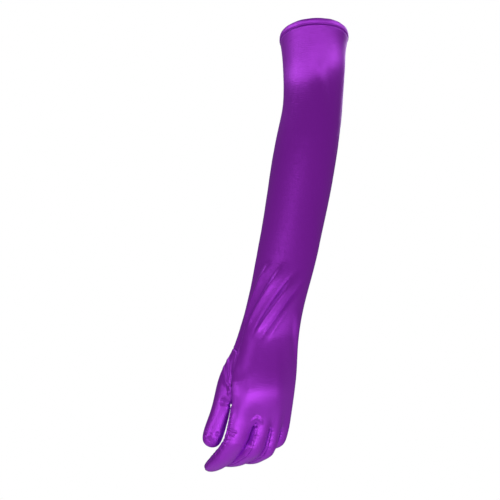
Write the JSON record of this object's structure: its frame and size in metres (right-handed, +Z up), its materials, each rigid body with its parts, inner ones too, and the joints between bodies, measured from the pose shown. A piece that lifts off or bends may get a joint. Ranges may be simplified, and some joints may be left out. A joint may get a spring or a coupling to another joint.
{
  "type": "evening glove",
  "caption": "Long over-elbow dress glove in violet stretch satin, worn shape with curled fingers, narrow hemmed cuff and gathered wrist.",
  "frame": {"origin": "centre of the cuff opening, where the glove is held at the upper arm", "axes": "+Z up along the hanging forearm, fingers at -Z; +Y away from the viewer of the back of the hand; +X towards the little-finger side at the hand"},
  "size_m": [0.1599, 0.1203, 0.4917],
  "materials": {
    "satin": "satin weave, soft sheen, violet"
  },
  "bodies": {
    "root": {"cuff_hem": "satin", "back_panel": "satin", "palm_panel": "satin", "thumb": "satin", "fourchette_index_middle": "satin", "fourchette_middle_ring": "satin", "fourchette_ring_little": "satin"}
  },
  "joints": []
}
